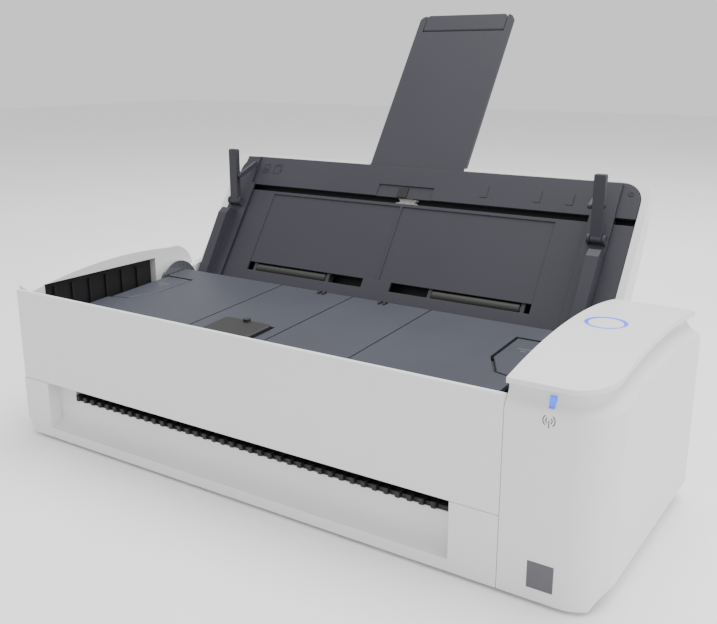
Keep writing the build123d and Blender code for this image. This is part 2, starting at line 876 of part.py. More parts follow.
def cover_v(y):
    """Distance along the cover plane's local y of a place y in the body."""
    return (y - feed_cover_back) / math.cos(cover_slope)


lever_points = [(96.0, 27.5), (96.0, 3.0), (103.6, -10.5), (112.9, -13.0), (112.9, 27.5)]


def lever_outline(side, grow):
    """Plan of a release lever on the cover plane, grown for the notch that it sits in."""
    with BuildSketch(Plane.XY, mode=Mode.PRIVATE) as plan:
        with BuildLine():
            Polyline(*[(side * x, cover_v(y)) for x, y in lever_points], close=True)
        make_face()
        if grow > 0:
            offset(amount=grow, kind=Kind.INTERSECTION)
    return plan.sketch


catch_x = -38.0 - path_x
catch_back = -12.5
catch_front = -36.0
catch_width = 27.2
catch_pin_r = 0.4
catch_pin_reach = 1.2     # how far the pin stands out at each side of the catch
catch_pin_drop = 0.6      # the pin's axis under the cover's top
catch_pin = (
    catch_front + 0.4 + catch_pin_drop * math.sin(cover_slope),
    cover_back_z - (feed_cover_back - catch_front - 0.4) * math.tan(cover_slope)
    - catch_pin_drop * math.cos(cover_slope),
)


def catch_pin_bar(radius):
    """The catch's pin along X, or the hole that it turns in."""
    half = catch_width / 2 + catch_pin_reach
    with BuildPart(mode=Mode.PRIVATE) as bar:
        with BuildSketch(across(path_x + catch_x - half)):
            with Locations(catch_pin):
                Circle(radius)
        extrude(amount=2 * half)
    return bar.part


with BuildPart() as feed_cover:
    with BuildSketch(cover_plane):
        with Locations(
            (
                (feed_cover_left + feed_cover_right) / 2 - path_x,
                cover_v((feed_cover_front + feed_cover_back) / 2),
            )
        ):
            Rectangle(feed_cover_right - feed_cover_left, -cover_v(feed_cover_front))
        add(lever_outline(1, lever_gap), mode=Mode.SUBTRACT)
        add(lever_outline(-1, lever_gap), mode=Mode.SUBTRACT)
    extrude(amount=-cover_thickness)
    with BuildSketch(cover_plane.offset(-cover_thickness)):
        with Locations((0, -1.0)):
            Rectangle(2 * guide_half - 26, 2.0)
        with Locations((0, cover_v(-40))):
            Rectangle(2 * guide_half, 1.6)
    extrude(amount=-2.4)
    with BuildSketch(cover_plane):
        with Locations((0, cover_v(-5))):
            with GridLocations(panel_pitch, 1, 3, 1):
                Rectangle(0.9, 96)
    extrude(amount=-0.5, mode=Mode.SUBTRACT)
    with BuildSketch(cover_plane):
        with Locations((catch_x, cover_v((catch_back + catch_front) / 2))):
            Rectangle(catch_width + 1.2, catch_back - catch_front + 2.2)
    extrude(amount=-1.2, mode=Mode.SUBTRACT)
    add(catch_pin_bar(catch_pin_r + running), mode=Mode.SUBTRACT)
    for arm_x in (frame_left + frame_plate + 0.6, frame_right - 5.2):
        with BuildSketch(across(arm_x)):
            with Locations(cover_pivot):
                Circle(3.4)
            with BuildLine():
                Polyline((-51.4, 60.5), (-45.2, 60.5), (-43.6, 61.4), (-52.0, 61.0), close=True)
            make_face()
        extrude(amount=4.6)
        with BuildSketch(across(arm_x)):
            with Locations(cover_pivot):
                Circle(cover_pin_r + running)
        extrude(amount=4.6, mode=Mode.SUBTRACT)

with BuildPart() as cover_catch:
    with BuildSketch(cover_plane.offset(-0.8)):
        with Locations((catch_x, cover_v((catch_back + catch_front + 0.4) / 2))):
            RectangleRounded(catch_width, catch_back - catch_front - 0.4, 2.0)
    extrude(amount=2.4)
    fillet(cover_catch.edges().group_by(cover_up)[-1], radius=0.8)
    with BuildSketch(cover_plane.offset(0.6)):
        with Locations((catch_x, cover_v(catch_back - 1.6))):
            RectangleRounded(3.4, 3.0, 1.2)
    extrude(amount=2.2)
    add(catch_pin_bar(catch_pin_r))


def release_lever(side, arm_x):
    """Release lever: a top pad in the cover's notch on an arm that turns on its pin."""
    with BuildPart() as lever:
        with BuildSketch(cover_plane):
            add(lever_outline(side, 0))
        extrude(amount=-2.0)
        fillet(lever.edges().group_by(cover_up)[-1], radius=0.6)
        with BuildSketch(across(arm_x)):
            with Locations(lever_pivot):
                Circle(3.2)
            with BuildLine():
                Polyline((-12, 59), (-6, 57.5), (20, 65.2), (-11, 63.4), close=True)
            make_face()
        extrude(amount=4.0)
        with BuildSketch(across(arm_x)):
            with Locations(lever_pivot):
                Circle(lever_pin_r + running)
        extrude(amount=4.0, mode=Mode.SUBTRACT)
    return lever


left_release_lever = release_lever(-1, frame_left + frame_plate + 3.4)
right_release_lever = release_lever(1, frame_right - 7.4)

# ---------------------------------------------------------------- lid shell
shell_wall = 1.8
skirt_n = -11.4
back_t = -19.0
corner_t = -12.0
corner_n = -17.4
crest_t = hinge_y - arch_y
slot_floor_n = -19.9
cheek_r = 6.0


def lid_profile(edge_t, drop, inset, floor_n):
    """Side view of the lid between its inner plane and the arch lowered by drop."""
    with BuildSketch(Plane.XY, mode=Mode.PRIVATE) as profile:
        with BuildLine():
            low = corner_n + inset
            Line((edge_t, chute_n), (edge_t, lid_arch(edge_t, drop)))
            ThreePointArc(
                (edge_t, lid_arch(edge_t, drop)),
                (crest_t, lid_arch(crest_t, drop)),
                (corner_t, lid_arch(corner_t, drop)),
            )
            ThreePointArc(
                (corner_t, lid_arch(corner_t, drop)),
                (back_t + inset + 1.9 - inset * 0.3, low - 4.6 + inset * 0.4),
                (back_t + inset, low),
            )
            Polyline(
                (back_t + inset, low),
                (back_t + inset, floor_n),
                (back_t + shell_wall, floor_n),
                (back_t + shell_wall, chute_n),
                (edge_t, chute_n),
            )
        make_face()
    return profile.sketch


def lid_plan(left, right, top, radius):
    """Outline of the lid seen square to the chute, its free corners rounded."""
    with BuildSketch(Plane.XY, mode=Mode.PRIVATE) as plan:
        with Locations(((left + right) / 2, (top - 40) / 2)):
            outline = Rectangle(right - left, top + 40)
        fillet(outline.vertices().group_by(Axis.Y)[-1], radius=radius)
    return plan.sketch


with BuildPart() as lid_hollow:
    with BuildSketch(lid_across(chute_left - 0.3)):
        with BuildLine():
            Line((free_edge_t - 1.5, -10), (free_edge_t - 1.5, slot_floor_n))
            ThreePointArc(
                (free_edge_t - 1.5, slot_floor_n),
                (crest_t, lid_arch(crest_t, shell_wall)),
                (-11, -22.2),
            )
            ThreePointArc((-11, -22.2), (-15.6, -20.4), (back_t + shell_wall, -16.4))
            Polyline((back_t + shell_wall, -16.4), (back_t + shell_wall, -10), (free_edge_t - 1.5, -10))
        make_face()
    extrude(amount=chute_right - chute_left + 0.6)
    with BuildSketch(lid_face.offset(-40)):
        add(lid_plan(chute_left - 0.3, chute_right + 0.3, free_edge_t - 1.5, 10.0))
    extrude(amount=60, mode=Mode.INTERSECT)

extension_half = 29.2
extension_n = -19.4
extension_thickness = 1.9
pinion_t = 72.0
pinion_n = -21.6
stud_r = 2.0

with BuildPart() as lid_shell:
    with BuildSketch(lid_across(lid_left)):
        add(lid_profile(free_edge_t, 0, 0, skirt_n))
    extrude(amount=lid_right - lid_left)
    with BuildSketch(lid_face.offset(-60)):
        add(lid_plan(lid_left, lid_right, free_edge_t, 4.0))
    extrude(amount=90, mode=Mode.INTERSECT)
    add(lid_hollow.part, mode=Mode.SUBTRACT)
    with BuildSketch(lid_face.offset(extension_n - 0.4)):
        with Locations((path_x, free_edge_t)):
            Rectangle(2 * extension_half + 0.8, 12)
    extrude(amount=extension_thickness + 4, mode=Mode.SUBTRACT)
    with BuildSketch(lid_face.offset(-25)):
        with Locations((path_x, pinion_t)):
            Circle(stud_r)
    extrude(amount=25 + pinion_n + 1.8)
    for cheek_x, cheek_width in ((lid_left, 4.5), (lid_right - 3.5, 3.5)):
        with BuildSketch(lid_across(cheek_x)):
            Circle(cheek_r)
            with BuildLine():
                Polyline((-5.6, -2.2), (-17.2, -16.5), (24, -16.5), (4.6, 3.8), close=True)
            make_face()
        extrude(amount=cheek_width)
        with BuildSketch(lid_across(cheek_x)):
            Circle(pin_r + running)
        extrude(amount=cheek_width, mode=Mode.SUBTRACT)

# ---------------------------------------------------------------- chute and header plates
chute_thickness = 1.3
chute_low_t = 8.0
chute_top_t = 70.3
header_low_t = 73.7
header_top_t = 91.7
header_n = -15.5
notch_width = 34.0
notch_height = 7.0
window_low_t = 20.7
window_high_t = 25.9
panel_high_t = 68.6
rib_half = 8.5            # half of the web between the two windows
line_half = 0.7           # half of the raised line between the two panels
panel_half = 86.0
roller_t = 23.2
roller_n = -18.9
roller_axle_r = 1.5
roller_near = 33.0
roller_far = 80.0

with BuildPart() as chute_plate:
    with BuildSketch(lid_face.offset(chute_n)):
        with Locations(((chute_left + chute_right) / 2, (chute_low_t + chute_top_t) / 2)):
            Rectangle(chute_right - chute_left, chute_top_t - chute_low_t)
    extrude(amount=-chute_thickness)
    with BuildSketch(lid_face.offset(chute_n)):
        for side in (-1, 1):
            panel_x = path_x + side * (line_half + panel_half) / 2
            with Locations((panel_x, (window_high_t + panel_high_t) / 2)):
                Rectangle(panel_half - line_half, panel_high_t - window_high_t)
    extrude(amount=-0.5, mode=Mode.SUBTRACT)
    with BuildSketch(lid_face.offset(chute_n)):
        for side in (-1, 1):
            with Locations((path_x + side * (rib_half + panel_half) / 2, (window_low_t + window_high_t) / 2)):
                Rectangle(panel_half - rib_half, window_high_t - window_low_t)
    extrude(amount=-chute_thickness, mode=Mode.SUBTRACT)
    for bracket_x in (-roller_far - 2.6, -roller_near + 0.6, roller_near - 2.6, roller_far + 0.6):
        with BuildSketch(lid_across(path_x + bracket_x)):
            with Locations((roller_t, (chute_n - chute_thickness + roller_n - 2.6) / 2)):
                Rectangle(9, roller_n - 2.6 - chute_n + chute_thickness)
            with Locations((roller_t, roller_n)):
                Circle(roller_axle_r + running, mode=Mode.SUBTRACT)
        extrude(amount=2.0)

with BuildPart() as header_plate:
    with BuildSketch(lid_face.offset(header_n)):
        add(lid_plan(chute_left, chute_right, header_top_t, 10.0))
        with Locations(((chute_left + chute_right) / 2, header_low_t - 60)):
            Rectangle(300, 120, mode=Mode.SUBTRACT)
    extrude(amount=-1.4)
    with BuildSketch(lid_face.offset(header_n)):
        with Locations((path_x - 1, header_low_t)):
            Rectangle(notch_width, 2 * notch_height)
    extrude(amount=-0.6, mode=Mode.SUBTRACT)


def chute_roller(side):
    """Idle roller behind a chute window, on its own axle."""
    low, high = sorted((path_x + side * roller_near, path_x + side * roller_far))
    with BuildPart() as roller:
        with BuildSketch(lid_across(low)):
            with Locations((roller_t, roller_n)):
                Circle(2.5)
        extrude(amount=high - low)
        with BuildSketch(lid_across(low - 2.4)):
            with Locations((roller_t, roller_n)):
                Circle(roller_axle_r)
        extrude(amount=high - low + 4.8)
    return roller


left_chute_roller = chute_roller(-1)
right_chute_roller = chute_roller(1)

# ---------------------------------------------------------------- pull-out extension and its flip bar
extension_low_t = 84.7
extension_top_t = 190.0
flap_half = 25.0
flap_t = 181.0

with BuildPart() as extension:
    with BuildSketch(lid_face.offset(extension_n)):
        with Locations((path_x, (extension_low_t + extension_top_t) / 2)):
            sheet = Rectangle(2 * extension_half, extension_top_t - extension_low_t)
        fillet(sheet.vertices().group_by(Axis.Y)[-1], radius=3.5)
        with Locations((path_x, extension_top_t)):
            Rectangle(2 * flap_half + 0.8, 2 * (extension_top_t - flap_t) + 3.0, mode=Mode.SUBTRACT)
    extrude(amount=extension_thickness)
    with BuildSketch(lid_across(path_x - flap_half - 3.4)):
        with Locations((flap_t, extension_n + extension_thickness / 2)):
            Circle(0.65)
    extrude(amount=2 * flap_half + 6.8, mode=Mode.SUBTRACT)

with BuildPart() as extension_flap:
    with BuildSketch(lid_face.offset(extension_n)):
        with Locations((path_x, (flap_t + extension_top_t + 0.4) / 2)):
            bar = Rectangle(2 * flap_half, extension_top_t + 0.4 - flap_t)
        fillet(bar.vertices().group_by(Axis.Y)[-1], radius=2.0)
    extrude(amount=extension_thickness)
    with BuildSketch(lid_across(path_x - flap_half)):
        with Locations((flap_t, extension_n + extension_thickness / 2)):
            Circle(extension_thickness / 2)
    extrude(amount=2 * flap_half)
    with BuildSketch(lid_across(path_x - flap_half - 3.0)):
        with Locations((flap_t, extension_n + extension_thickness / 2)):
            Circle(0.6)
    extrude(amount=2 * flap_half + 6.0)

# ---------------------------------------------------------------- side guides, racks and pinion
guide_reach = 108.0       # inner face of a guide from the middle of the path
fence_width = 6.0
foot_low_t = 8.6
foot_high_t = 91.0
foot_n = -15.2
fin_t = 60.5
fin_n = -12.2
fin_length = 30.0
fin_half_x = 2.75
fin_half = 1.5
fin_x = 109.25
fin_pin_r = 1.2
strut_arm = 15.0
strut_half = 1.2
pinion_teeth = 12
rack_thickness = 1.8
rack_pitch = math.pi * module
neck_low_t = 70.9
neck_high_t = 73.1
rack_reach = 8.0
guide_travel = 62.0


def tooth_row(side, length):
    """Rack outline in the lid plane: a bar with straight-sided teeth facing the pinion.

    The rack of the left guide runs above the pinion, the right one below it.
    """
    above = -side
    pitch_line = pinion_t + above * pitch_r(pinion_teeth)
    tip = pitch_line - above * 0.8 * module
    root = pitch_line + above * 1.15 * module
    back = pitch_line + above * 3.4 * module
    start = path_x - side * rack_reach
    count = int(length / rack_pitch)
    points = [(start, back), (start, root)]
    for i in range(count):
        tooth_x = path_x + side * (rack_pitch * (i + 0.5) - 2 * rack_pitch)
        for edge, level in ((-0.29, root), (-0.11, tip), (0.11, tip), (0.29, root)):
            points.append((tooth_x + side * edge * rack_pitch, level))
    end = path_x + side * (guide_reach + 2.0)
    points.append((end, root))
    points.append((end, back))
    return points, back


def side_guide(side):
    """Side fence with its foot on the chute, clevis for the fin, and rack behind the chute."""
    inner = path_x + side * guide_reach
    outer = inner + side * fence_width
    fence_low, fence_high = sorted((inner, outer))
    points, back = tooth_row(side, guide_travel + 14)
    with BuildPart() as guide:
        with BuildSketch(lid_across(fence_low)):
            with BuildLine():
                Polyline(
                    (foot_low_t, foot_n),
                    (foot_low_t, -9.2),
                    (50, -7.0),
                    (54, -8.6),
                    (55.5, foot_n),
                    close=True,
                )
            make_face()
        extrude(amount=fence_width)
        with BuildSketch(lid_face.offset(foot_n)):
            with Locations((inner, (foot_low_t + 74) / 2)):
                Rectangle(12.0, 74 - foot_low_t)
            with Locations((path_x + side * fin_x, (74 + foot_high_t) / 2)):
                Rectangle(9.0, foot_high_t - 74)
        extrude(amount=1.0)
        for ear_x in (-fin_half_x - 1.6, fin_half_x + 0.3):
            with BuildSketch(lid_across(path_x + side * fin_x + ear_x)):
                with Locations((fin_t, fin_n)):
                    Circle(2.3)
                with Locations((fin_t, (foot_n + fin_n) / 2)):
                    Rectangle(4.6, fin_n - foot_n)
                with Locations((fin_t, fin_n)):
                    Circle(fin_pin_r + running, mode=Mode.SUBTRACT)
            extrude(amount=1.3)
        with BuildSketch(lid_face.offset(foot_n)):
            with Locations((inner + side * 2.0, (neck_low_t + neck_high_t) / 2)):
                Rectangle(7.0, neck_high_t - neck_low_t)
        extrude(amount=pinion_n - foot_n)
        with BuildSketch(lid_face.offset(pinion_n)):
            with Locations((inner + side * 2.0, (pinion_t + back) / 2)):
                Rectangle(6.0, abs(back - pinion_t))
            with BuildLine():
                Polyline(*points, close=True)
            make_face()
        extrude(amount=rack_thickness)
    return guide


left_guide = side_guide(-1)
right_guide = side_guide(1)

with BuildPart() as guide_pinion:
    with BuildSketch(lid_face.offset(pinion_n)):
        with Locations((path_x, pinion_t)):
            Polygon(*gear_outline(pinion_teeth, 90.0), align=None)
            Circle(stud_r + running, mode=Mode.SUBTRACT)
    extrude(amount=rack_thickness)

# ---------------------------------------------------------------- flip-up fins and their struts
fin_dir = (math.cos(math.radians(lid_tilt)), math.sin(math.radians(lid_tilt)))


def fin_plane(x, along):
    """Plane facing +X with its origin on the fin, local x along the standing fin."""
    t = fin_t + along * fin_dir[0]
    n = fin_n + along * fin_dir[1]
    base = lid_across(x)
    return Plane(origin=base.from_local_coords((t, n, 0)), x_dir=(0, 0, 1), z_dir=(1, 0, 0))


def guide_fin(side):
    """Fin that stands upright on the guide, with its pivot pin moulded on."""
    centre = path_x + side * fin_x
    with BuildPart() as fin:
        with BuildSketch(fin_plane(centre - fin_half_x, 0)):
            with Locations((fin_length / 2, 0)):
                Rectangle(fin_length, 2 * fin_half)
            Circle(2.0)
            with Locations((strut_arm, 0)):
                Circle(1.05, mode=Mode.SUBTRACT)
        extrude(amount=2 * fin_half_x)
        fillet(fin.faces().sort_by(Axis.Z)[-1].edges(), radius=0.8)
        with BuildSketch(fin_plane(centre - fin_half_x - 1.5, 0)):
            Circle(fin_pin_r)
        extrude(amount=2 * fin_half_x + 3.0)
    return fin


def fin_strut(side):
    """Strut from the fin's middle down to the guide's rail."""
    face = path_x + side * (fin_x - fin_half_x - 0.3)
    low = face if side < 0 else face - 2.0
    pin_low, pin_high = sorted((face, face + side * 4.0))
    with BuildPart() as strut:
        foot = fin_plane(low, strut_arm)
        lean = Plane(origin=foot.origin, x_dir=(0, 0, 1), z_dir=(1, 0, 0)).rotated((-2 * lid_tilt, 0, 0))
        with BuildSketch(lean):
            with Locations((strut_arm / 2, 0)):
                SlotOverall(strut_arm + 2 * strut_half, 2 * strut_half)
        extrude(amount=2.0)
        with BuildSketch(fin_plane(pin_low, strut_arm)):
            Circle(1.0)
        extrude(amount=pin_high - pin_low)
    return strut


left_fin = guide_fin(-1)
right_fin = guide_fin(1)
left_strut = fin_strut(-1)
right_strut = fin_strut(1)

# ---------------------------------------------------------------- electronics
with BuildPart() as main_board:
    with BuildSketch(across(143.2)):
        with Locations((2, 40)):
            Rectangle(84, 46)
    extrude(amount=1.6)
    with BuildSketch(across(141.0)):
        with Locations((-18, 42), (14, 50)):
            Rectangle(14, 14)
        with Locations((16, 28)):
            Rectangle(22, 8)
    extrude(amount=2.2)

with BuildPart() as usb_port:
    with BuildSketch(Plane.XZ.offset(-half_d + 0.6)):
        with Locations((usb_x, usb_z)):
            Rectangle(12.0, 11.0)
    extrude(amount=14)
    with BuildSketch(Plane.XZ.offset(-half_d + 0.6)):
        with Locations((usb_x, usb_z)):
            Rectangle(9.0, 8.2)
    extrude(amount=10, mode=Mode.SUBTRACT)
    with BuildSketch(Plane.XZ.offset(-half_d + 5)):
        with Locations((usb_x, usb_z - 2.8)):
            Rectangle(5.6, 2.6)
    extrude(amount=6)

with BuildPart() as power_inlet:
    with BuildSketch(Plane.XZ.offset(-half_d + 0.6)):
        with Locations((power_x, power_z)):
            Circle(power_hole_r - 0.1)
            Circle(3.1, mode=Mode.SUBTRACT)
    extrude(amount=10)
    with BuildSketch(Plane.XZ.offset(-half_d + 9.6)):
        with Locations((power_x, power_z)):
            Circle(3.1)
    extrude(amount=1)

# ---------------------------------------------------------------- labels and files
pieces = {
    "lower_housing": lower_housing,
    "slot_comb": slot_comb,
    "front_panel": front_panel,
    "left_side_cover": left_side_cover,
    "left_inner_cover": left_inner_cover,
    "pod_housing": pod_housing,
    "pod_top_plate": pod_top_plate,
    "scan_button": scan_button,
    "led_ring": led_ring,
    "button_board": button_board,
    "status_led": status_led,
    "rear_cover": rear_cover,
    "rear_tray": rear_tray,
    "bottom_cover": bottom_cover,
    "rubber_feet": rubber_feet,
    "case_screws": case_screws,
    "left_frame": left_frame,
    "right_frame": right_frame,
    "frame_pins": frame_pins,
    "shaft_bushes": shaft_bushes,
    "pick_shaft": pick_shaft,
    "pick_roller": pick_roller,
    "feed_shaft": feed_shaft,
    "feed_roller": feed_roller,
    "exit_shaft": exit_shaft,
    "exit_roller": exit_roller,
    "rear_idler_gear": rear_idler_gear,
    "front_idler_gear": front_idler_gear,
    "feed_pinch_roller": feed_pinch_roller,
    "exit_pinch_roller": exit_pinch_roller,
    "drive_motor": drive_motor,
    "motor_gear": motor_gear,
    "path_floor": path_floor,
    "path_roof": path_roof,
    "feed_guide": feed_guide,
    "separation_pad": separation_pad,
    "lower_sensor": lower_sensor,
    "upper_sensor": upper_sensor,
    "sensor_glasses": sensor_glasses,
    "feed_cover": feed_cover,
    "cover_catch": cover_catch,
    "left_release_lever": left_release_lever,
    "right_release_lever": right_release_lever,
    "lid_shell": lid_shell,
    "chute_plate": chute_plate,
    "header_plate": header_plate,
    "left_chute_roller": left_chute_roller,
    "right_chute_roller": right_chute_roller,
    "extension": extension,
    "extension_flap": extension_flap,
    "left_guide": left_guide,
    "right_guide": right_guide,
    "guide_pinion": guide_pinion,
    "left_fin": left_fin,
    "right_fin": right_fin,
    "left_strut": left_strut,
    "right_strut": right_strut,
    "main_board": main_board,
    "usb_port": usb_port,
    "power_inlet": power_inlet,
}

for label, piece in pieces.items():
    piece.part.label = label
    export_step(piece.part, f"parts/{label}.step")
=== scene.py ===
import bmesh
import bpy
import json
import math
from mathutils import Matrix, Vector


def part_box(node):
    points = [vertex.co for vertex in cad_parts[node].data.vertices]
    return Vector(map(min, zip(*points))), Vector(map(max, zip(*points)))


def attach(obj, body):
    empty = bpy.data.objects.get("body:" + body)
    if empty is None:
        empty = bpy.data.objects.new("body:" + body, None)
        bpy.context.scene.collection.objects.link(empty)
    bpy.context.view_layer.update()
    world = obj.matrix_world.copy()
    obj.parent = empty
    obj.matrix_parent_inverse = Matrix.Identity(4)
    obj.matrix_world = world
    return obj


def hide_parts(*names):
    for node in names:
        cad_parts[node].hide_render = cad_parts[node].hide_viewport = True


# Looks of the sheet fed document scanner, metres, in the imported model's own frame.

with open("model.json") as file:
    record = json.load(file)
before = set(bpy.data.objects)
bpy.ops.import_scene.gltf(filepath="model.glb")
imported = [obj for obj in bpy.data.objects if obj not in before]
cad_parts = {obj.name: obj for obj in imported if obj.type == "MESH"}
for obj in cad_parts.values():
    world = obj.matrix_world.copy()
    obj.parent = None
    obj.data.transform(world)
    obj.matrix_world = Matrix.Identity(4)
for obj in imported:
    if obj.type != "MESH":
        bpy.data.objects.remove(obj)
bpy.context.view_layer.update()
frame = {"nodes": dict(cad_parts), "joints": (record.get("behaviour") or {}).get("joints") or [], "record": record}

MM = 0.001
NOISE_LOW = 0.3
NOISE_HIGH = 0.7
ROUGH_DRIFT = 0.05
SHARP_ANGLE = math.radians(32)


# ---------------------------------------------------------------- places read from the frame
joints = {j["name"]: j for j in frame["joints"]}
hinge = Vector(joints["lid_hinge"]["pos_m"])
along_lid = -Vector(joints["extension_slide"]["axis"])
off_lid = Vector((0, -along_lid.z, along_lid.y))

pod_low, pod_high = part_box("pod_housing")
plate_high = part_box("pod_top_plate")[1]
header_low, header_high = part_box("header_plate")
cover_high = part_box("feed_cover")[1]
pinion_low, pinion_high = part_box("guide_pinion")
ring_low, ring_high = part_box("led_ring")
led_low, led_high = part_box("status_led")
usb_low, usb_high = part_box("usb_port")
power_low, power_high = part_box("power_inlet")
left_lever_low, left_lever_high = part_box("left_release_lever")
right_lever_low, right_lever_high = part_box("right_release_lever")

path_x = (pinion_low.x + pinion_high.x) / 2
foot_z = pod_low.z
half_depth = pod_high.y


def lid_point(x, t, n):
    """A point on the lid: x across, t up the chute from the hinge, n out of its back."""
    return Vector((x, hinge.y, hinge.z)) + along_lid * t + off_lid * n


# ---------------------------------------------------------------- materials
def new_material(name):
    material = bpy.data.materials.new(name)
    material.use_nodes = True
    return material, material.node_tree.nodes, material.node_tree.links


def noise_node(nodes, links, scale, detail=3.0, stretch=(1.0, 1.0, 1.0)):
    """Noise over the object's own coordinates, in metres."""
    place = nodes.new("ShaderNodeTexCoord")
    mapping = nodes.new("ShaderNodeMapping")
    mapping.inputs["Scale"].default_value = stretch
    noise = nodes.new("ShaderNodeTexNoise")
    noise.inputs["Scale"].default_value = scale
    noise.inputs["Detail"].default_value = detail
    links.new(place.outputs["Object"], mapping.inputs["Vector"])
    links.new(mapping.outputs["Vector"], noise.inputs["Vector"])
    return noise


def spread(nodes, links, source, low, high):
    """Maps a noise output to the range low..high."""
    remap = nodes.new("ShaderNodeMapRange")
    remap.inputs["From Min"].default_value = NOISE_LOW
    remap.inputs["From Max"].default_value = NOISE_HIGH
    remap.inputs["To Min"].default_value = low
    remap.inputs["To Max"].default_value = high
    links.new(source, remap.inputs["Value"])
    return remap.outputs["Result"]


def tone(nodes, links, source, dark, light):
    """A colour that drifts between two near tones."""
    ramp = nodes.new("ShaderNodeValToRGB")
    ramp.color_ramp.elements[0].position = NOISE_LOW
    ramp.color_ramp.elements[1].position = NOISE_HIGH
    ramp.color_ramp.elements[0].color = (*dark, 1)
    ramp.color_ramp.elements[1].color = (*light, 1)
    links.new(source, ramp.inputs["Fac"])
    return ramp.outputs["Color"]


def moulded(name, colour, rough, grain=2600.0, bump=0.04, drift=0.05, round_edge=0.3):
    """Moulded plastic: fine spark grain, slow changes of tone and shine, softened edges."""
    material, nodes, links = new_material(name)
    shader = nodes["Principled BSDF"]
    slow = noise_node(nodes, links, scale=18.0, detail=4.0)
    fine = noise_node(nodes, links, scale=grain, detail=2.0)
    dark = [c * (1 - drift) for c in colour]
    light = [min(1.0, c * (1 + drift)) for c in colour]
    links.new(tone(nodes, links, slow.outputs["Fac"], dark, light), shader.inputs["Base Color"])
    rough_out = spread(nodes, links, slow.outputs["Fac"], rough - ROUGH_DRIFT, rough + ROUGH_DRIFT)
    links.new(rough_out, shader.inputs["Roughness"])
    soft = nodes.new("ShaderNodeBevel")
    soft.samples = 4
    soft.inputs["Radius"].default_value = round_edge * MM
    relief = nodes.new("ShaderNodeBump")
    relief.inputs["Strength"].default_value = bump
    relief.inputs["Distance"].default_value = 0.05 * MM
    links.new(fine.outputs["Fac"], relief.inputs["Height"])
    links.new(soft.outputs["Normal"], relief.inputs["Normal"])
    links.new(relief.outputs["Normal"], shader.inputs["Normal"])
    shader.inputs["Specular IOR Level"].default_value = 0.45
    return material


def metal(name, colour, rough):
    """Rolled sheet metal, its grain drawn out along X."""
    material, nodes, links = new_material(name)
    shader = nodes["Principled BSDF"]
    shader.inputs["Metallic"].default_value = 1.0
    grain = noise_node(nodes, links, scale=900.0, detail=3.0, stretch=(0.05, 1.0, 1.0))
    dark = [c * 0.85 for c in colour]
    rough_drift = 0.08
    links.new(tone(nodes, links, grain.outputs["Fac"], dark, colour), shader.inputs["Base Color"])
    rough_out = spread(nodes, links, grain.outputs["Fac"], rough - rough_drift, rough + rough_drift)
    links.new(rough_out, shader.inputs["Roughness"])
    relief = nodes.new("ShaderNodeBump")
    relief.inputs["Strength"].default_value = 0.08
    relief.inputs["Distance"].default_value = 0.02 * MM
    links.new(grain.outputs["Fac"], relief.inputs["Height"])
    links.new(relief.outputs["Normal"], shader.inputs["Normal"])
    return material


def light_guide(name, dark, light, strength):
    """Lit light guide: the glow changes a little along it."""
    material, nodes, links = new_material(name)
    shader = nodes["Principled BSDF"]
    slow = noise_node(nodes, links, scale=120.0)
    colour = tone(nodes, links, slow.outputs["Fac"], dark, light)
    links.new(colour, shader.inputs["Base Color"])
    links.new(colour, shader.inputs["Emission Color"])
    shader.inputs["Emission Strength"].default_value = strength
    shader.inputs["Roughness"].default_value = 0.35
    return material


def clear_glass(name):
    """Clear glass with a faint haze."""
    material, nodes, links = new_material(name)
    shader = nodes["Principled BSDF"]
    haze = noise_node(nodes, links, scale=60.0)
    links.new(spread(nodes, links, haze.outputs["Fac"], low=0.02, high=0.08), shader.inputs["Roughness"])
    shader.inputs["Base Color"].default_value = (0.82, 0.88, 0.88, 1)
    shader.inputs["Transmission Weight"].default_value = 0.9
    shader.inputs["IOR"].default_value = 1.5
    return material


LIGHT_BLUE = (0.05, 0.17, 0.95)

materials = {
    "white_plastic": moulded("white_casing", (0.74, 0.74, 0.745), 0.46, bump=0.05, drift=0.012),
    "chute_plastic": moulded("dark_chute", (0.030, 0.030, 0.040), 0.55, bump=0.10, drift=0.06),
    "cover_plastic": moulded("blue_grey_cover", (0.036, 0.039, 0.054), 0.50, bump=0.10, drift=0.05),
    "black_plastic": moulded("black_moulding", (0.012, 0.012, 0.013), 0.55, bump=0.08, drift=0.10),
    "light_blue": light_guide("lit_guide", (0.03, 0.12, 0.80), LIGHT_BLUE, 1.0),
    "rubber": moulded("roller_rubber", (0.055, 0.055, 0.058), 0.80, grain=1200.0, bump=0.25, drift=0.10),
    "steel": metal("zinc_steel", (0.58, 0.59, 0.61), 0.34),
    "gear_plastic": moulded("natural_acetal", (0.72, 0.71, 0.66), 0.38, bump=0.03, drift=0.03),
    "glass": clear_glass("sensor_glass"),
    "circuit_board": moulded("solder_mask", (0.02, 0.13, 0.055), 0.32, grain=600.0, bump=0.15, drift=0.15),
}
grey_roller = moulded("grey_roller", (0.030, 0.030, 0.028), 0.60, bump=0.12, drift=0.06)
print_grey = moulded("print_grey", (0.10, 0.10, 0.11), 0.60, bump=0.05, drift=0.08)
raised_grey = moulded("raised_grey", (0.024, 0.024, 0.032), 0.40, bump=0.05, drift=0.05)
pale_print = moulded("pale_print", (0.16, 0.165, 0.18), 0.60, bump=0.05, drift=0.05)
motor_can = metal("motor_can", (0.42, 0.43, 0.45), 0.30)

for part in frame["record"]["subparts"]:
    node = frame["nodes"][part["node"]]
    node.data.materials.clear()
    node.data.materials.append(materials[part["material_slot"]])

for name, material in (
    ("left_chute_roller", grey_roller),
    ("right_chute_roller", grey_roller),
    ("feed_pinch_roller", grey_roller),
    ("exit_pinch_roller", grey_roller),
    ("drive_motor", motor_can),
):
    frame["nodes"][name].data.materials[0] = material


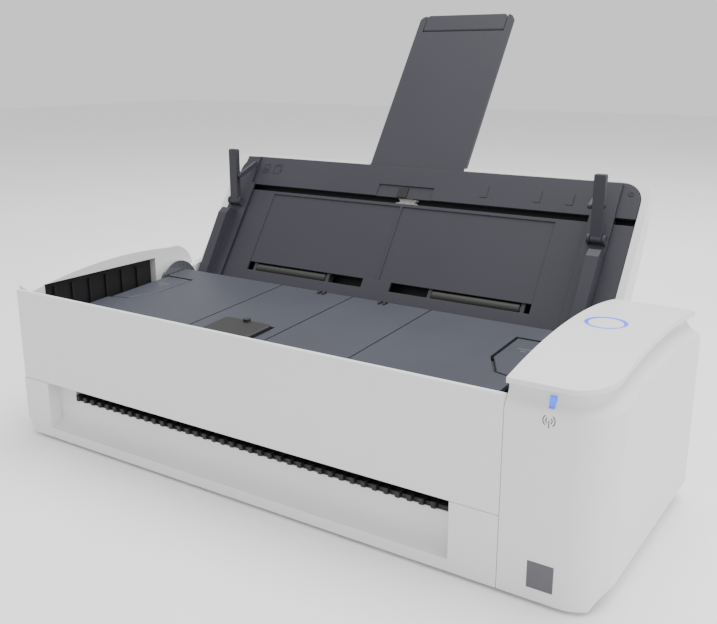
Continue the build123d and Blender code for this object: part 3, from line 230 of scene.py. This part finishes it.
# ---------------------------------------------------------------- mesh helpers
def add_piece(name, mesh, body, material):
    piece = bpy.data.objects.new(name, mesh)
    bpy.context.scene.collection.objects.link(piece)
    piece.data.materials.append(material)
    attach(piece, body)
    return piece


def mesh_of(name, points, faces):
    mesh = bpy.data.meshes.new(name)
    mesh.from_pydata([tuple(p) for p in points], [], faces)
    work = bmesh.new()
    work.from_mesh(mesh)
    bmesh.ops.recalc_face_normals(work, faces=work.faces)
    work.to_mesh(mesh)
    work.free()
    return mesh


def smooth_faces(mesh):
    """Smooth shading, with the edges past the sharp angle kept sharp."""
    mesh.polygons.foreach_set("use_smooth", [True] * len(mesh.polygons))
    mesh.set_sharp_from_angle(angle=SHARP_ANGLE)


def loft(name, rings, smooth=False):
    """A closed solid through rings of equal length."""
    count = len(rings[0])
    points = [p for ring in rings for p in ring]
    faces = [tuple(range(count))[::-1], tuple(range(len(points) - count, len(points)))]
    for level in range(len(rings) - 1):
        for i in range(count):
            j = (i + 1) % count
            a = level * count
            faces.append((a + i, a + j, a + count + j, a + count + i))
    mesh = mesh_of(name, points, faces)
    if smooth:
        smooth_faces(mesh)
    return mesh


def ribbon(name, strokes, width, height, place, body, material):
    """Flat marks: each stroke is a list of (u, v) in millimetres, laid on by place(u, v, height)."""
    points, faces = [], []
    for stroke in strokes:
        closed = stroke[0] == stroke[-1] and len(stroke) > 2
        line = stroke[:-1] if closed else stroke
        sides = []
        for i, p in enumerate(line):
            before = line[i - 1] if i or closed else line[i]
            after = line[(i + 1) % len(line)] if i < len(line) - 1 or closed else line[i]
            run = Vector((after[0] - before[0], after[1] - before[1])).normalized()
            across = Vector((-run.y, run.x)) * width / 2
            here = Vector(p)
            sides.append((here + across, here - across))
        start = len(points)
        for left, right in sides:
            for level in (0.0, height):
                points += [place(left.x, left.y, level), place(right.x, right.y, level)]
        last = len(line) if closed else len(line) - 1
        for i in range(last):
            a = start + 4 * i
            b = start + 4 * ((i + 1) % len(line))
            for p, q in ((0, 1), (1, 3), (3, 2), (2, 0)):
                faces.append((a + p, b + p, b + q, a + q))
        if not closed:
            end = start + 4 * (len(line) - 1)
            faces += [(start, start + 1, start + 3, start + 2), (end, end + 2, end + 3, end + 1)]
    return add_piece(name, mesh_of(name, points, faces), body, material)


def arc(cu, cv, radius, start, stop, steps=12):
    """Points on an arc about (cu, cv), from the start angle to the stop angle in degrees."""
    turns = [math.radians(start + (stop - start) * i / steps) for i in range(steps + 1)]
    return [(cu + radius * math.cos(a), cv + radius * math.sin(a)) for a in turns]


# ---------------------------------------------------------------- control pod with its concave neck
corner_r = 15 * MM
back_r = 6 * MM
corner_steps = 14
neck_in = 3.6 * MM
neck_side = 6.0 * MM
cove_drop = 8.3 * MM
cove_top = 1.0 * MM
cove_pull_low = cove_drop - 2.2 * MM
cove_pull_high = 5.8 * MM
bevel_x = 5 * MM
bevel_z = 7 * MM
pod_wall = 2.4 * MM
arch_radius = 305 * MM
arch_y = 5 * MM
arch_gap = 2.1 * MM
side_steps = 24
run_steps = 9
cove_steps = 16
least_r = 1 * MM
low_room_z = (9.5 * MM, 62 * MM)
high_room_z = (61 * MM, 75 * MM)
high_room_inset = 8.4 * MM
floor_room_top = 9.6 * MM
floor_gap = 0.2 * MM
ring_room_z = (70 * MM, 95 * MM)
light_gap = 0.05 * MM
led_depth = 4 * MM
socket_gap = 0.3 * MM
socket_depth = 8 * MM
power_room_r = 4.6 * MM
past_face = 1 * MM


def under_plate(y):
    """Height of the pod's top at y, under its arched plate."""
    return plate_high.z - arch_gap - arch_radius + math.sqrt(arch_radius**2 - (y - arch_y) ** 2)


def pod_outline(inset, side, left=0.0):
    """Plan of the pod as points, drawn in by inset at front and back and by side at the right."""
    x0, x1 = pod_low.x + left, pod_high.x - side
    y0, y1 = -half_depth + inset, half_depth - inset
    front, back = max(corner_r - inset, least_r), max(back_r - inset, least_r)
    points = []
    for i in range(run_steps):
        points.append((x0 + (x1 - front - x0) * i / run_steps, y0))
    for i in range(corner_steps + 1):
        a = math.radians(-90 + 90 * i / corner_steps)
        points.append((x1 - front + front * math.cos(a), y0 + front + front * math.sin(a)))
    for i in range(1, side_steps):
        points.append((x1, y0 + front + (y1 - back - y0 - front) * i / side_steps))
    for i in range(corner_steps + 1):
        a = math.radians(90 * i / corner_steps)
        points.append((x1 - back + back * math.cos(a), y1 - back + back * math.sin(a)))
    for i in range(1, run_steps):
        points.append((x1 - back + (x0 - x1 + back) * i / (run_steps - 1), y1))
    for i in range(1, side_steps):
        points.append((x0, y1 + (y0 - y1) * i / side_steps))
    return points


def bezier(a, b, c, d, s):
    """Cubic curve from a to d, pulled by b and c, at the share s of its way."""
    r = 1 - s
    return a * r**3 + 3 * b * r * r * s + 3 * c * r * s * s + d * s**3


def pod_rings():
    """Sections of the pod from its foot to its top: the bevel, the wall, the cove and the neck."""
    flat = pod_outline(0, 0)
    slant = pod_high.x - bevel_x
    rings = [[Vector((min(x, slant), y, foot_z)) for x, y in flat]]
    rings.append([Vector((x, y, foot_z + bevel_z)) for x, y in flat])
    for i in range(cove_steps + 1):
        s = i / cove_steps
        share = bezier(0, 0, 1, 1, s)
        depth = bezier(cove_drop, cove_pull_low, cove_pull_high, cove_top, s)
        level = pod_outline(neck_in * share, neck_side * share)
        rings.append([Vector((x, y, under_plate(y) - depth)) for x, y in level])
    top = pod_outline(neck_in, neck_side)
    rings.append([Vector((x, y, under_plate(y))) for x, y in top])
    return rings


def block(name, low, high):
    """A square cutter."""
    corners = [
        Vector((x, y, z))
        for x in (low[0], high[0])
        for y in (low[1], high[1])
        for z in (low[2], high[2])
    ]
    faces = [(0, 1, 3, 2), (4, 6, 7, 5), (0, 4, 5, 1), (2, 3, 7, 6), (0, 2, 6, 4), (1, 5, 7, 3)]
    return mesh_of(name, corners, faces)


def rod(name, centre, axis, radius, low, high, steps=48):
    """A round cutter along Y or Z."""
    turns = [2 * math.pi * i / steps for i in range(steps)]
    rings = []
    for level in (low, high):
        ring = []
        for a in turns:
            out, up = radius * math.cos(a), radius * math.sin(a)
            if axis == "Z":
                ring.append(Vector((centre.x + out, centre.y + up, level)))
            else:
                ring.append(Vector((centre.x + out, level, centre.z + up)))
        rings.append(ring)
    return loft(name, rings)


def cut(mesh, cutters):
    """The mesh with each cutter taken out of it."""
    body = bpy.data.objects.new("cut_body", mesh)
    bpy.context.scene.collection.objects.link(body)
    helpers = []
    for cutter in cutters:
        helper = bpy.data.objects.new("cutter", cutter)
        bpy.context.scene.collection.objects.link(helper)
        helpers.append(helper)
        step = body.modifiers.new("cut", "BOOLEAN")
        step.operation = "DIFFERENCE"
        step.solver = "EXACT"
        step.object = helper
    graph = bpy.context.evaluated_depsgraph_get()
    result = bpy.data.meshes.new_from_object(body.evaluated_get(graph))
    for helper in [body, *helpers]:
        bpy.data.objects.remove(helper)
    return result


def build_pod():
    """The pod's shell with its smooth cove, hollow inside, in place of the CAD pod."""
    shell = loft("pod_shell", pod_rings())
    low_plan = pod_outline(pod_wall, pod_wall, pod_wall)
    high_plan = pod_outline(high_room_inset, high_room_inset, pod_wall)
    floor_low, floor_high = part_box("bottom_cover")
    middle_y = (floor_low.y + floor_high.y) / 2
    floor_half = (floor_high.y - floor_low.y) / 2 + floor_gap
    ring_centre = (ring_low + ring_high) / 2
    ring_room_r = (ring_high.x - ring_low.x) / 2 + light_gap
    power_centre = (power_low + power_high) / 2
    socket_y = half_depth - socket_depth
    cutters = [
        loft("low_room", [[Vector((x, y, z)) for x, y in low_plan] for z in low_room_z]),
        loft("high_room", [[Vector((x, y, z)) for x, y in high_plan] for z in high_room_z]),
        block(
            "floor_room",
            (pod_low.x - past_face, middle_y - floor_half, foot_z - past_face),
            (floor_high.x + floor_gap, middle_y + floor_half, floor_room_top),
        ),
        rod("ring_room", ring_centre, "Z", ring_room_r, *ring_room_z),
        block(
            "usb_room",
            (usb_low.x - socket_gap, socket_y, usb_low.z - socket_gap),
            (usb_high.x + socket_gap, half_depth + past_face, usb_high.z + socket_gap),
        ),
        rod("power_room", power_centre, "Y", power_room_r, socket_y, half_depth + past_face),
        block(
            "led_room",
            (led_low.x - light_gap, led_low.y - led_depth, led_low.z - light_gap),
            (led_high.x + light_gap, led_high.y + past_face, led_high.z + light_gap),
        ),
    ]
    mesh = cut(shell, cutters)
    mesh.name = "pod_shell"
    smooth_faces(mesh)
    mesh.materials.clear()
    piece = add_piece("pod_shell", mesh, "base", materials["white_plastic"])
    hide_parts("pod_housing")


build_pod()


# ---------------------------------------------------------------- marks on the chute's header
header_n = -15.5 * MM
mark_height = 0.15
icon_line = 0.45
tick_line = 0.5
dot_line = 1.2


def on_header(u, v, level):
    """u across from the paper's middle, v up the chute, on the header's face."""
    return lid_point(path_x + u * MM, v * MM, header_n + level * MM)


def build_header_marks():
    """Raised icons, size marks and dots, and a black block flush in the notch: painted shade for the hole there.
    """
    ring = arc(-108.0, 84.5, 3.0, 0, 360, 28)
    sheet = [(-100.0, 81.8), (-96.2, 81.8), (-96.2, 87.2), (-98.6, 87.2), (-100.0, 85.8), (-100.0, 81.8)]
    stack = [(-92.4, 81.8), (-88.2, 81.8), (-88.2, 86.6), (-92.4, 86.6), (-92.4, 81.8)]
    second = [(-91.4, 87.5), (-87.2, 87.5), (-87.2, 82.8)]
    bar = [(-110.0, 82.4), (-106.0, 86.6)]
    lines = [[(-99.2, v), (-97.0, v)] for v in (83.2, 84.3)]
    icons = [ring, bar, sheet, stack, second, *lines]
    ribbon("header_icons", icons, icon_line, mark_height, on_header, "lid", raised_grey)
    tick_low, tick_high, tick_foot = 78.2, 84.4, 3.6
    ticks = []
    for d in (46.7, 75.4, 92.0, 107.8):
        ticks += [[(d, tick_low), (d, tick_high)], [(d - tick_foot, tick_low), (d, tick_low)]]
    ribbon("size_marks", ticks, tick_line, mark_height, on_header, "lid", raised_grey)
    # Black block flush in the notch: painted shade standing in for the dark hole there.
    hole = [(-4.8, 76.9), (0.8, 76.9)]
    hole_width, hole_depth = 6.0, -0.55
    ribbon("header_hole_shade", [hole], hole_width, hole_depth, on_header, "lid",
           materials["black_plastic"])
    dots = [arc(side, 86.5, 0.9, 0, 360, 16) for side in (-113.5, 118.5)]
    ribbon("header_dots", dots, dot_line, mark_height, on_header, "lid", raised_grey)


build_header_marks()


def circle_through(a, b, c):
    """Centre and radius of the circle through three (t, n) points."""
    (ax, ay), (bx, by), (cx, cy) = a, b, c
    d = 2 * (ax * (by - cy) + bx * (cy - ay) + cx * (ay - by))
    sa, sb, sc = ax * ax + ay * ay, bx * bx + by * by, cx * cx + cy * cy
    x = (sa * (by - cy) + sb * (cy - ay) + sc * (ay - by)) / d
    y = (sa * (cx - bx) + sb * (ax - cx) + sc * (bx - ax)) / d
    return x, y, math.hypot(ax - x, ay - y)


# Dark sheet inside the lid, which paints shade on the lid's inside; sizes in millimetres.
shade_sheet_start = -10.5
shade_sheet_length = 98.5
shade_sheet_steps = 24
shade_sheet_gap = 0.2
shade_sheet_thick = 0.25


def build_lid_shade_sheet():
    """Dark sheet over the inside of the lid's white shell, seen through the chute's gaps: painted shade that
    darkens the lid's inside there.
    """
    t_centre, n_centre, radius = circle_through((92.0, -19.9), (33.0, -25.6), (-11.0, -22.2))
    rings = []
    for i in range(shade_sheet_steps + 1):
        t = shade_sheet_start + shade_sheet_length * i / shade_sheet_steps
        n = n_centre - math.sqrt(radius**2 - (t - t_centre) ** 2) + shade_sheet_gap
        rings.append([
            lid_point(header_low.x, t * MM, n * MM),
            lid_point(header_high.x, t * MM, n * MM),
            lid_point(header_high.x, t * MM, (n + shade_sheet_thick) * MM),
            lid_point(header_low.x, t * MM, (n + shade_sheet_thick) * MM),
        ])
    shade_sheet = loft("lid_shade_sheet", rings, smooth=True)
    add_piece("lid_shade_sheet", shade_sheet, "lid", materials["black_plastic"])


build_lid_shade_sheet()


# ---------------------------------------------------------------- marks on the cover, levers and pod
cover_slope = 0.063
clip_places = (-36.2, -33.4, 0.3, 3.1)
clip_inset = 2.6 * MM
clip_half_x = 0.7
clip_half_y = 2.0
clip_levels = ((0.0, 0.0), (0.8, -0.15), (1.2, -0.5))
clip_turn = 20
bar_gap = 0.01
bar_line = 0.5
bar_height = 0.06


def cover_top(y):
    """Height of the feed cover's top at y: it rises to the back."""
    return cover_high.z - (cover_high.y - y) * cover_slope


def build_cover_clips():
    """Two pairs of small fins on the cover's rear edge."""
    for number, x in enumerate(place * MM for place in clip_places):
        y = cover_high.y - clip_inset
        rings = []
        for rise, grow in clip_levels:
            half_x, half_y = (clip_half_x + grow * 0.5) * MM, (clip_half_y + grow) * MM
            ring = []
            for a in range(0, 360, clip_turn):
                c, s = math.cos(math.radians(a)), math.sin(math.radians(a))
                px = x + half_x * math.copysign(abs(c) ** 0.5, c)
                py = y + half_y * math.copysign(abs(s) ** 0.5, s)
                ring.append(Vector((px, py, cover_top(py) + rise * MM)))
            rings.append(ring)
        mesh = loft(f"cover_clip_{number}", rings, smooth=True)
        add_piece(f"cover_clip_{number}", mesh, "feed_cover", materials["black_plastic"])


build_cover_clips()


def on_lever(u, v, level):
    """u and v are X and Y in millimetres, on top of a release lever."""
    y = v * MM
    return Vector((u * MM, y, cover_top(y) + (level + bar_gap) * MM))


def build_lever_marks():
    """Two short pale bars on each release lever."""
    levers = (("left", left_lever_low, left_lever_high), ("right", right_lever_low, right_lever_high))
    for side, low, high in levers:
        middle = (low.x + high.x) / 2 / MM
        strokes = [[(middle - half, v), (middle + half, v)] for half, v in ((3.5, 16.0), (1.4, 13.6))]
        ribbon(f"{side}_lever_mark", strokes, bar_line, bar_height, on_lever, f"{side}_lever",
               pale_print)


build_lever_marks()


def on_front(u, v, level):
    """u and v are X and Z in millimetres, on the pod's front face."""
    return Vector((u * MM, -half_depth - level * MM, v * MM))


def build_pod_marks():
    """A plain radio-wave pictogram under the status light, and a blank dark plate low on the front."""
    middle = (led_low.x + led_high.x) / 2 / MM
    centre = 69.0
    wave = 52
    print_line, print_height = 0.36, 0.04
    strokes = []
    for radius in (1.1, 2.1):
        strokes.append(arc(middle, centre, radius, -wave, wave))
        strokes.append(arc(middle, centre, radius, 180 - wave, 180 + wave))
    strokes.append([(middle, centre + 0.2), (middle, centre - 2.6)])
    ribbon("radio_mark", strokes, print_line, print_height, on_front, "base", print_grey)
    left, low, width, tall, thick = 121.6, 6.3, 9.6, 10.2, 0.12
    corners = [(left, low), (left + width, low), (left + width, low + tall), (left, low + tall)]
    plate = [on_front(u, v, level) for level in (0.0, thick) for u, v in corners]
    faces = [(0, 1, 2, 3), (4, 5, 6, 7), (0, 1, 5, 4), (1, 2, 6, 5), (2, 3, 7, 6), (3, 0, 4, 7)]
    label = mesh_of("blank_label", plate, faces)
    add_piece("blank_label", label, "base", print_grey)


build_pod_marks()


# ---------------------------------------------------------------- floor, lights and camera
def build_floor():
    """A pale plain floor, as a grid."""
    reach, steps = 3.0, 24
    points = [
        (-reach + 2 * reach * i / steps, -reach + 2 * reach * j / steps, 0.0)
        for j in range(steps + 1)
        for i in range(steps + 1)
    ]
    row = steps + 1
    faces = [
        (j * row + i, j * row + i + 1, (j + 1) * row + i + 1, (j + 1) * row + i)
        for j in range(steps)
        for i in range(steps)
    ]
    floor = bpy.data.objects.new("floor", mesh_of("floor", points, faces))
    bpy.context.scene.collection.objects.link(floor)
    pale = moulded("pale_floor", (0.90, 0.90, 0.90), 0.75, grain=300.0, bump=0.02, drift=0.01)
    floor.data.materials.append(pale)


build_floor()


def area_light(name, place, aim, size, power):
    """A soft square light at place, turned to aim."""
    lamp = bpy.data.lights.new(name, "AREA")
    lamp.shape = "SQUARE"
    lamp.size = size
    lamp.energy = power
    holder = bpy.data.objects.new(name, lamp)
    bpy.context.scene.collection.objects.link(holder)
    holder.location = place
    holder.rotation_mode = "QUATERNION"
    holder.rotation_quaternion = (Vector(aim) - Vector(place)).to_track_quat("-Z", "Y")


centre_of_view = (0.0, 0.0, 0.08)
area_light("top_light", (0.15, 0.25, 1.1), centre_of_view, size=1.0, power=19.0)
area_light("right_light", (1.1, -0.2, 0.5), centre_of_view, size=0.8, power=6.0)
area_light("front_light", (-0.3, -1.2, 0.6), centre_of_view, size=0.9, power=1.2)

world = bpy.data.worlds.new("studio")
world.use_nodes = True
world.node_tree.nodes["Background"].inputs["Color"].default_value = (1.0, 1.0, 1.0, 1)
world.node_tree.nodes["Background"].inputs["Strength"].default_value = 0.95
bpy.context.scene.world = world

camera_place = Vector((0.22313, -0.31618, 0.18150))
camera_azimuth = math.radians(33.43)
camera_height = math.radians(15.68)
camera_lens = 44.755

camera = bpy.data.objects.new("camera", bpy.data.cameras.new("camera"))
bpy.context.scene.collection.objects.link(camera)
camera.data.lens = camera_lens
camera.data.sensor_width = 36.0
camera.data.clip_start = 0.01
camera.location = camera_place
camera.rotation_mode = "QUATERNION"
back = Vector((
    math.sin(camera_azimuth) * math.cos(camera_height),
    -math.cos(camera_azimuth) * math.cos(camera_height),
    math.sin(camera_height),
))
camera.rotation_quaternion = (-back).to_track_quat("-Z", "Y")
bpy.context.scene.camera = camera
